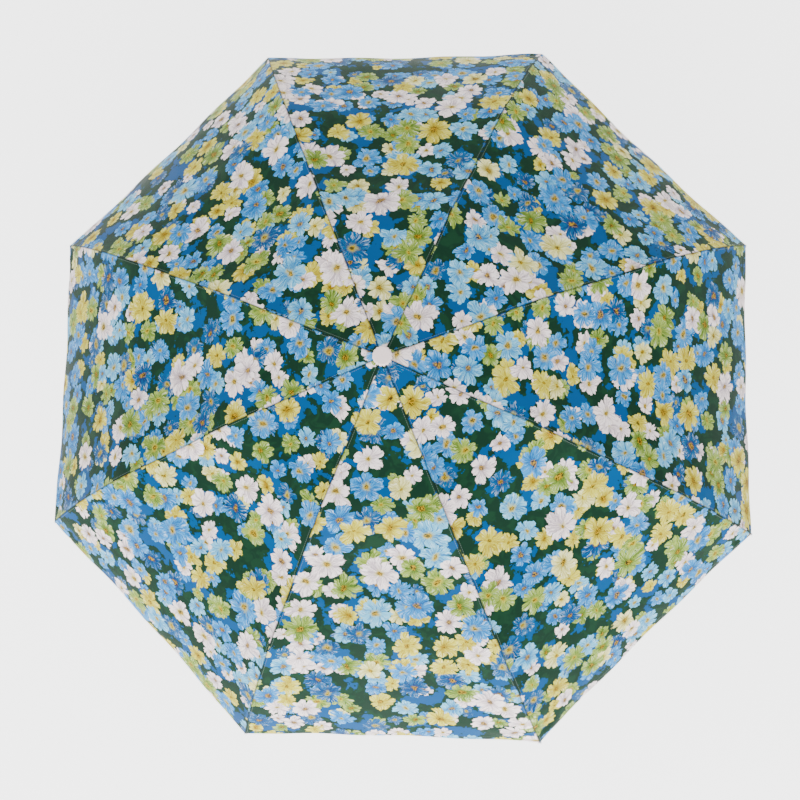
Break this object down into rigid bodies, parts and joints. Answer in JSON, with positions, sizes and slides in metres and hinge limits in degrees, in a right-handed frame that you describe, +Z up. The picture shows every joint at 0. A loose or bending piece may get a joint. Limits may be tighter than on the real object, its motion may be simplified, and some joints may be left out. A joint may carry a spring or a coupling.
{
  "type": "folding umbrella",
  "caption": "Folding umbrella, open: flowered cloth canopy on jointed folding ribs, telescopic shaft, sliding runner and a short straight handle.",
  "frame": {"origin": "centre of the handle's base, where the hand holds the umbrella upright", "axes": "+Z up the shaft to the finial; +X through the middle of a cloth gore and the runner's catch"},
  "size_m": [0.8902, 0.8902, 0.538],
  "materials": {
    "canopy_cloth": "printed polyester, satin",
    "grip_plastic": "moulded satin",
    "cap_plastic": "moulded satin",
    "hub_plastic": "moulded matte",
    "shaft_steel": "bright plated",
    "wire_steel": "drawn wire",
    "rib_steel": "zinc-plated, satin"
  },
  "bodies": {
    "handle": {"handle_grip": "grip_plastic", "handle_end_cap": "grip_plastic", "lower_tube": "shaft_steel"},
    "middle_tube": {"middle_tube": "shaft_steel"},
    "canopy_head": {"top_tube": "shaft_steel", "crown": "hub_plastic", "crown_ring": "wire_steel", "finial_cap": "cap_plastic", "canopy": "canopy_cloth"},
    "runner": {"runner": "hub_plastic", "runner_ring": "wire_steel"},
    "runner_catch": {"runner_catch": "wire_steel"},
    "inner_rib_1": {"inner_rib_1": "rib_steel"},
    "stretcher_1": {"stretcher_1": "rib_steel"},
    "middle_rib_1": {"middle_rib_1": "rib_steel"},
    "outer_rib_1": {"outer_rib_1": "rib_steel"},
    "fold_link_1": {"fold_link_1": "rib_steel"},
    "fold_wire_1": {"fold_wire_1": "rib_steel"},
    "inner_rib_2": {"inner_rib_2": "rib_steel"},
    "stretcher_2": {"stretcher_2": "rib_steel"},
    "middle_rib_2": {"middle_rib_2": "rib_steel"},
    "outer_rib_2": {"outer_rib_2": "rib_steel"},
    "fold_link_2": {"fold_link_2": "rib_steel"},
    "fold_wire_2": {"fold_wire_2": "rib_steel"},
    "inner_rib_3": {"inner_rib_3": "rib_steel"},
    "stretcher_3": {"stretcher_3": "rib_steel"},
    "middle_rib_3": {"middle_rib_3": "rib_steel"},
    "outer_rib_3": {"outer_rib_3": "rib_steel"},
    "fold_link_3": {"fold_link_3": "rib_steel"},
    "fold_wire_3": {"fold_wire_3": "rib_steel"},
    "inner_rib_4": {"inner_rib_4": "rib_steel"},
    "stretcher_4": {"stretcher_4": "rib_steel"},
    "middle_rib_4": {"middle_rib_4": "rib_steel"},
    "outer_rib_4": {"outer_rib_4": "rib_steel"},
    "fold_link_4": {"fold_link_4": "rib_steel"},
    "fold_wire_4": {"fold_wire_4": "rib_steel"},
    "inner_rib_5": {"inner_rib_5": "rib_steel"},
    "stretcher_5": {"stretcher_5": "rib_steel"},
    "middle_rib_5": {"middle_rib_5": "rib_steel"},
    "outer_rib_5": {"outer_rib_5": "rib_steel"},
    "fold_link_5": {"fold_link_5": "rib_steel"},
    "fold_wire_5": {"fold_wire_5": "rib_steel"},
    "inner_rib_6": {"inner_rib_6": "rib_steel"},
    "stretcher_6": {"stretcher_6": "rib_steel"},
    "middle_rib_6": {"middle_rib_6": "rib_steel"},
    "outer_rib_6": {"outer_rib_6": "rib_steel"},
    "fold_link_6": {"fold_link_6": "rib_steel"},
    "fold_wire_6": {"fold_wire_6": "rib_steel"},
    "inner_rib_7": {"inner_rib_7": "rib_steel"},
    "stretcher_7": {"stretcher_7": "rib_steel"},
    "middle_rib_7": {"middle_rib_7": "rib_steel"},
    "outer_rib_7": {"outer_rib_7": "rib_steel"},
    "fold_link_7": {"fold_link_7": "rib_steel"},
    "fold_wire_7": {"fold_wire_7": "rib_steel"},
    "inner_rib_8": {"inner_rib_8": "rib_steel"},
    "stretcher_8": {"stretcher_8": "rib_steel"},
    "middle_rib_8": {"middle_rib_8": "rib_steel"},
    "outer_rib_8": {"outer_rib_8": "rib_steel"},
    "fold_link_8": {"fold_link_8": "rib_steel"},
    "fold_wire_8": {"fold_wire_8": "rib_steel"}
  },
  "joints": [
    {"name": "shaft_lower_slide", "type": "slide", "parent": "handle", "child": "middle_tube", "axis": [0, 0, -1], "range_m": [0, 0.12]},
    {"name": "shaft_upper_slide", "type": "slide", "parent": "middle_tube", "child": "canopy_head", "axis": [0, 0, -1], "range_m": [0, 0.12]},
    {"name": "runner_slide", "type": "slide", "parent": "canopy_head", "child": "runner", "axis": [0, 0, -1], "range_m": [0, 0.13507], "deforming": ["canopy"]},
    {"name": "catch_press", "type": "slide", "parent": "canopy_head", "child": "runner_catch", "axis": [-1, 0, 0], "range_m": [0, 0.0014], "stiffness_N_per_m": 400},
    {"name": "inner_rib_1_hinge", "type": "hinge", "parent": "canopy_head", "child": "inner_rib_1", "pos_m": [0.01063, 0.0044, 0.525], "axis": [-0.3827, 0.9239, 0], "range_deg": [0, 78.5]},
    {"name": "stretcher_1_hinge", "type": "hinge", "parent": "inner_rib_1", "child": "stretcher_1", "pos_m": [0.09251, 0.03832, 0.50937], "axis": [0.3827, -0.9239, 0], "range_deg": [0, 145.51]},
    {"name": "middle_rib_1_hinge", "type": "hinge", "parent": "inner_rib_1", "child": "middle_rib_1", "pos_m": [0.16742, 0.06935, 0.497], "axis": [0.3827, -0.9239, 0], "range_deg": [0, 188.5]},
    {"name": "outer_rib_1_hinge", "type": "hinge", "parent": "middle_rib_1", "child": "outer_rib_1", "pos_m": [0.31356, 0.12988, 0.42937], "axis": [-0.3827, 0.9239, 0], "range_deg": [0, 156]},
    {"name": "fold_link_1_hinge", "type": "hinge", "parent": "middle_rib_1", "child": "fold_link_1", "pos_m": [0.15832, 0.06558, 0.49527], "axis": [-0.3827, 0.9239, 0], "range_deg": [0, 185.93]},
    {"name": "fold_wire_1_hinge", "type": "hinge", "parent": "inner_rib_1", "child": "fold_wire_1", "pos_m": [0.16003, 0.06629, 0.497], "axis": [0.3827, -0.9239, 0], "range_deg": [0, 187.96]},
    {"name": "inner_rib_2_hinge", "type": "hinge", "parent": "canopy_head", "child": "inner_rib_2", "pos_m": [0.0044, 0.01063, 0.525], "axis": [-0.9239, 0.3827, 0], "range_deg": [0, 78.5]},
    {"name": "stretcher_2_hinge", "type": "hinge", "parent": "inner_rib_2", "child": "stretcher_2", "pos_m": [0.03832, 0.09251, 0.50937], "axis": [0.9239, -0.3827, 0], "range_deg": [0, 145.51]},
    {"name": "middle_rib_2_hinge", "type": "hinge", "parent": "inner_rib_2", "child": "middle_rib_2", "pos_m": [0.06935, 0.16742, 0.497], "axis": [0.9239, -0.3827, 0], "range_deg": [0, 188.5]},
    {"name": "outer_rib_2_hinge", "type": "hinge", "parent": "middle_rib_2", "child": "outer_rib_2", "pos_m": [0.12988, 0.31356, 0.42937], "axis": [-0.9239, 0.3827, 0], "range_deg": [0, 156]},
    {"name": "fold_link_2_hinge", "type": "hinge", "parent": "middle_rib_2", "child": "fold_link_2", "pos_m": [0.06558, 0.15832, 0.49527], "axis": [-0.9239, 0.3827, 0], "range_deg": [0, 185.93]},
    {"name": "fold_wire_2_hinge", "type": "hinge", "parent": "inner_rib_2", "child": "fold_wire_2", "pos_m": [0.06629, 0.16003, 0.497], "axis": [0.9239, -0.3827, 0], "range_deg": [0, 187.96]},
    {"name": "inner_rib_3_hinge", "type": "hinge", "parent": "canopy_head", "child": "inner_rib_3", "pos_m": [-0.0044, 0.01063, 0.525], "axis": [-0.9239, -0.3827, 0], "range_deg": [0, 78.5]},
    {"name": "stretcher_3_hinge", "type": "hinge", "parent": "inner_rib_3", "child": "stretcher_3", "pos_m": [-0.03832, 0.09251, 0.50937], "axis": [0.9239, 0.3827, 0], "range_deg": [0, 145.51]},
    {"name": "middle_rib_3_hinge", "type": "hinge", "parent": "inner_rib_3", "child": "middle_rib_3", "pos_m": [-0.06935, 0.16742, 0.497], "axis": [0.9239, 0.3827, 0], "range_deg": [0, 188.5]},
    {"name": "outer_rib_3_hinge", "type": "hinge", "parent": "middle_rib_3", "child": "outer_rib_3", "pos_m": [-0.12988, 0.31356, 0.42937], "axis": [-0.9239, -0.3827, 0], "range_deg": [0, 156]},
    {"name": "fold_link_3_hinge", "type": "hinge", "parent": "middle_rib_3", "child": "fold_link_3", "pos_m": [-0.06558, 0.15832, 0.49527], "axis": [-0.9239, -0.3827, 0], "range_deg": [0, 185.93]},
    {"name": "fold_wire_3_hinge", "type": "hinge", "parent": "inner_rib_3", "child": "fold_wire_3", "pos_m": [-0.06629, 0.16003, 0.497], "axis": [0.9239, 0.3827, 0], "range_deg": [0, 187.96]},
    {"name": "inner_rib_4_hinge", "type": "hinge", "parent": "canopy_head", "child": "inner_rib_4", "pos_m": [-0.01063, 0.0044, 0.525], "axis": [-0.3827, -0.9239, 0], "range_deg": [0, 78.5]},
    {"name": "stretcher_4_hinge", "type": "hinge", "parent": "inner_rib_4", "child": "stretcher_4", "pos_m": [-0.09251, 0.03832, 0.50937], "axis": [0.3827, 0.9239, 0], "range_deg": [0, 145.51]},
    {"name": "middle_rib_4_hinge", "type": "hinge", "parent": "inner_rib_4", "child": "middle_rib_4", "pos_m": [-0.16742, 0.06935, 0.497], "axis": [0.3827, 0.9239, 0], "range_deg": [0, 188.5]},
    {"name": "outer_rib_4_hinge", "type": "hinge", "parent": "middle_rib_4", "child": "outer_rib_4", "pos_m": [-0.31356, 0.12988, 0.42937], "axis": [-0.3827, -0.9239, 0], "range_deg": [0, 156]},
    {"name": "fold_link_4_hinge", "type": "hinge", "parent": "middle_rib_4", "child": "fold_link_4", "pos_m": [-0.15832, 0.06558, 0.49527], "axis": [-0.3827, -0.9239, 0], "range_deg": [0, 185.93]},
    {"name": "fold_wire_4_hinge", "type": "hinge", "parent": "inner_rib_4", "child": "fold_wire_4", "pos_m": [-0.16003, 0.06629, 0.497], "axis": [0.3827, 0.9239, 0], "range_deg": [0, 187.96]},
    {"name": "inner_rib_5_hinge", "type": "hinge", "parent": "canopy_head", "child": "inner_rib_5", "pos_m": [-0.01063, -0.0044, 0.525], "axis": [0.3827, -0.9239, 0], "range_deg": [0, 78.5]},
    {"name": "stretcher_5_hinge", "type": "hinge", "parent": "inner_rib_5", "child": "stretcher_5", "pos_m": [-0.09251, -0.03832, 0.50937], "axis": [-0.3827, 0.9239, 0], "range_deg": [0, 145.51]},
    {"name": "middle_rib_5_hinge", "type": "hinge", "parent": "inner_rib_5", "child": "middle_rib_5", "pos_m": [-0.16742, -0.06935, 0.497], "axis": [-0.3827, 0.9239, 0], "range_deg": [0, 188.5]},
    {"name": "outer_rib_5_hinge", "type": "hinge", "parent": "middle_rib_5", "child": "outer_rib_5", "pos_m": [-0.31356, -0.12988, 0.42937], "axis": [0.3827, -0.9239, 0], "range_deg": [0, 156]},
    {"name": "fold_link_5_hinge", "type": "hinge", "parent": "middle_rib_5", "child": "fold_link_5", "pos_m": [-0.15832, -0.06558, 0.49527], "axis": [0.3827, -0.9239, 0], "range_deg": [0, 185.93]},
    {"name": "fold_wire_5_hinge", "type": "hinge", "parent": "inner_rib_5", "child": "fold_wire_5", "pos_m": [-0.16003, -0.06629, 0.497], "axis": [-0.3827, 0.9239, 0], "range_deg": [0, 187.96]},
    {"name": "inner_rib_6_hinge", "type": "hinge", "parent": "canopy_head", "child": "inner_rib_6", "pos_m": [-0.0044, -0.01063, 0.525], "axis": [0.9239, -0.3827, 0], "range_deg": [0, 78.5]},
    {"name": "stretcher_6_hinge", "type": "hinge", "parent": "inner_rib_6", "child": "stretcher_6", "pos_m": [-0.03832, -0.09251, 0.50937], "axis": [-0.9239, 0.3827, 0], "range_deg": [0, 145.51]},
    {"name": "middle_rib_6_hinge", "type": "hinge", "parent": "inner_rib_6", "child": "middle_rib_6", "pos_m": [-0.06935, -0.16742, 0.497], "axis": [-0.9239, 0.3827, 0], "range_deg": [0, 188.5]},
    {"name": "outer_rib_6_hinge", "type": "hinge", "parent": "middle_rib_6", "child": "outer_rib_6", "pos_m": [-0.12988, -0.31356, 0.42937], "axis": [0.9239, -0.3827, 0], "range_deg": [0, 156]},
    {"name": "fold_link_6_hinge", "type": "hinge", "parent": "middle_rib_6", "child": "fold_link_6", "pos_m": [-0.06558, -0.15832, 0.49527], "axis": [0.9239, -0.3827, 0], "range_deg": [0, 185.93]},
    {"name": "fold_wire_6_hinge", "type": "hinge", "parent": "inner_rib_6", "child": "fold_wire_6", "pos_m": [-0.06629, -0.16003, 0.497], "axis": [-0.9239, 0.3827, 0], "range_deg": [0, 187.96]},
    {"name": "inner_rib_7_hinge", "type": "hinge", "parent": "canopy_head", "child": "inner_rib_7", "pos_m": [0.0044, -0.01063, 0.525], "axis": [0.9239, 0.3827, 0], "range_deg": [0, 78.5]},
    {"name": "stretcher_7_hinge", "type": "hinge", "parent": "inner_rib_7", "child": "stretcher_7", "pos_m": [0.03832, -0.09251, 0.50937], "axis": [-0.9239, -0.3827, 0], "range_deg": [0, 145.51]},
    {"name": "middle_rib_7_hinge", "type": "hinge", "parent": "inner_rib_7", "child": "middle_rib_7", "pos_m": [0.06935, -0.16742, 0.497], "axis": [-0.9239, -0.3827, 0], "range_deg": [0, 188.5]},
    {"name": "outer_rib_7_hinge", "type": "hinge", "parent": "middle_rib_7", "child": "outer_rib_7", "pos_m": [0.12988, -0.31356, 0.42937], "axis": [0.9239, 0.3827, 0], "range_deg": [0, 156]},
    {"name": "fold_link_7_hinge", "type": "hinge", "parent": "middle_rib_7", "child": "fold_link_7", "pos_m": [0.06558, -0.15832, 0.49527], "axis": [0.9239, 0.3827, 0], "range_deg": [0, 185.93]},
    {"name": "fold_wire_7_hinge", "type": "hinge", "parent": "inner_rib_7", "child": "fold_wire_7", "pos_m": [0.06629, -0.16003, 0.497], "axis": [-0.9239, -0.3827, 0], "range_deg": [0, 187.96]},
    {"name": "inner_rib_8_hinge", "type": "hinge", "parent": "canopy_head", "child": "inner_rib_8", "pos_m": [0.01063, -0.0044, 0.525], "axis": [0.3827, 0.9239, 0], "range_deg": [0, 78.5]},
    {"name": "stretcher_8_hinge", "type": "hinge", "parent": "inner_rib_8", "child": "stretcher_8", "pos_m": [0.09251, -0.03832, 0.50937], "axis": [-0.3827, -0.9239, 0], "range_deg": [0, 145.51]},
    {"name": "middle_rib_8_hinge", "type": "hinge", "parent": "inner_rib_8", "child": "middle_rib_8", "pos_m": [0.16742, -0.06935, 0.497], "axis": [-0.3827, -0.9239, 0], "range_deg": [0, 188.5]},
    {"name": "outer_rib_8_hinge", "type": "hinge", "parent": "middle_rib_8", "child": "outer_rib_8", "pos_m": [0.31356, -0.12988, 0.42937], "axis": [0.3827, 0.9239, 0], "range_deg": [0, 156]},
    {"name": "fold_link_8_hinge", "type": "hinge", "parent": "middle_rib_8", "child": "fold_link_8", "pos_m": [0.15832, -0.06558, 0.49527], "axis": [0.3827, 0.9239, 0], "range_deg": [0, 185.93]},
    {"name": "fold_wire_8_hinge", "type": "hinge", "parent": "inner_rib_8", "child": "fold_wire_8", "pos_m": [0.16003, -0.06629, 0.497], "axis": [-0.3827, -0.9239, 0], "range_deg": [0, 187.96]}
  ],
  "couplings": [
    {"joint": "inner_rib_1_hinge", "follows": "runner_slide", "rad_per_m": 10.079},
    {"joint": "stretcher_1_hinge", "follows": "runner_slide", "rad_per_m": 18.737},
    {"joint": "middle_rib_1_hinge", "follows": "runner_slide", "rad_per_m": 24.293},
    {"joint": "outer_rib_1_hinge", "follows": "runner_slide", "rad_per_m": 20.093},
    {"joint": "fold_link_1_hinge", "follows": "runner_slide", "rad_per_m": 23.961},
    {"joint": "fold_wire_1_hinge", "follows": "runner_slide", "rad_per_m": 24.223},
    {"joint": "inner_rib_2_hinge", "follows": "runner_slide", "rad_per_m": 10.079},
    {"joint": "stretcher_2_hinge", "follows": "runner_slide", "rad_per_m": 18.737},
    {"joint": "middle_rib_2_hinge", "follows": "runner_slide", "rad_per_m": 24.293},
    {"joint": "outer_rib_2_hinge", "follows": "runner_slide", "rad_per_m": 20.093},
    {"joint": "fold_link_2_hinge", "follows": "runner_slide", "rad_per_m": 23.961},
    {"joint": "fold_wire_2_hinge", "follows": "runner_slide", "rad_per_m": 24.223},
    {"joint": "inner_rib_3_hinge", "follows": "runner_slide", "rad_per_m": 10.079},
    {"joint": "stretcher_3_hinge", "follows": "runner_slide", "rad_per_m": 18.737},
    {"joint": "middle_rib_3_hinge", "follows": "runner_slide", "rad_per_m": 24.293},
    {"joint": "outer_rib_3_hinge", "follows": "runner_slide", "rad_per_m": 20.093},
    {"joint": "fold_link_3_hinge", "follows": "runner_slide", "rad_per_m": 23.961},
    {"joint": "fold_wire_3_hinge", "follows": "runner_slide", "rad_per_m": 24.223},
    {"joint": "inner_rib_4_hinge", "follows": "runner_slide", "rad_per_m": 10.079},
    {"joint": "stretcher_4_hinge", "follows": "runner_slide", "rad_per_m": 18.737},
    {"joint": "middle_rib_4_hinge", "follows": "runner_slide", "rad_per_m": 24.293},
    {"joint": "outer_rib_4_hinge", "follows": "runner_slide", "rad_per_m": 20.093},
    {"joint": "fold_link_4_hinge", "follows": "runner_slide", "rad_per_m": 23.961},
    {"joint": "fold_wire_4_hinge", "follows": "runner_slide", "rad_per_m": 24.223},
    {"joint": "inner_rib_5_hinge", "follows": "runner_slide", "rad_per_m": 10.079},
    {"joint": "stretcher_5_hinge", "follows": "runner_slide", "rad_per_m": 18.737},
    {"joint": "middle_rib_5_hinge", "follows": "runner_slide", "rad_per_m": 24.293},
    {"joint": "outer_rib_5_hinge", "follows": "runner_slide", "rad_per_m": 20.093},
    {"joint": "fold_link_5_hinge", "follows": "runner_slide", "rad_per_m": 23.961},
    {"joint": "fold_wire_5_hinge", "follows": "runner_slide", "rad_per_m": 24.223},
    {"joint": "inner_rib_6_hinge", "follows": "runner_slide", "rad_per_m": 10.079},
    {"joint": "stretcher_6_hinge", "follows": "runner_slide", "rad_per_m": 18.737},
    {"joint": "middle_rib_6_hinge", "follows": "runner_slide", "rad_per_m": 24.293},
    {"joint": "outer_rib_6_hinge", "follows": "runner_slide", "rad_per_m": 20.093},
    {"joint": "fold_link_6_hinge", "follows": "runner_slide", "rad_per_m": 23.961},
    {"joint": "fold_wire_6_hinge", "follows": "runner_slide", "rad_per_m": 24.223},
    {"joint": "inner_rib_7_hinge", "follows": "runner_slide", "rad_per_m": 10.079},
    {"joint": "stretcher_7_hinge", "follows": "runner_slide", "rad_per_m": 18.737},
    {"joint": "middle_rib_7_hinge", "follows": "runner_slide", "rad_per_m": 24.293},
    {"joint": "outer_rib_7_hinge", "follows": "runner_slide", "rad_per_m": 20.093},
    {"joint": "fold_link_7_hinge", "follows": "runner_slide", "rad_per_m": 23.961},
    {"joint": "fold_wire_7_hinge", "follows": "runner_slide", "rad_per_m": 24.223},
    {"joint": "inner_rib_8_hinge", "follows": "runner_slide", "rad_per_m": 10.079},
    {"joint": "stretcher_8_hinge", "follows": "runner_slide", "rad_per_m": 18.737},
    {"joint": "middle_rib_8_hinge", "follows": "runner_slide", "rad_per_m": 24.293},
    {"joint": "outer_rib_8_hinge", "follows": "runner_slide", "rad_per_m": 20.093},
    {"joint": "fold_link_8_hinge", "follows": "runner_slide", "rad_per_m": 23.961},
    {"joint": "fold_wire_8_hinge", "follows": "runner_slide", "rad_per_m": 24.223}
  ]
}
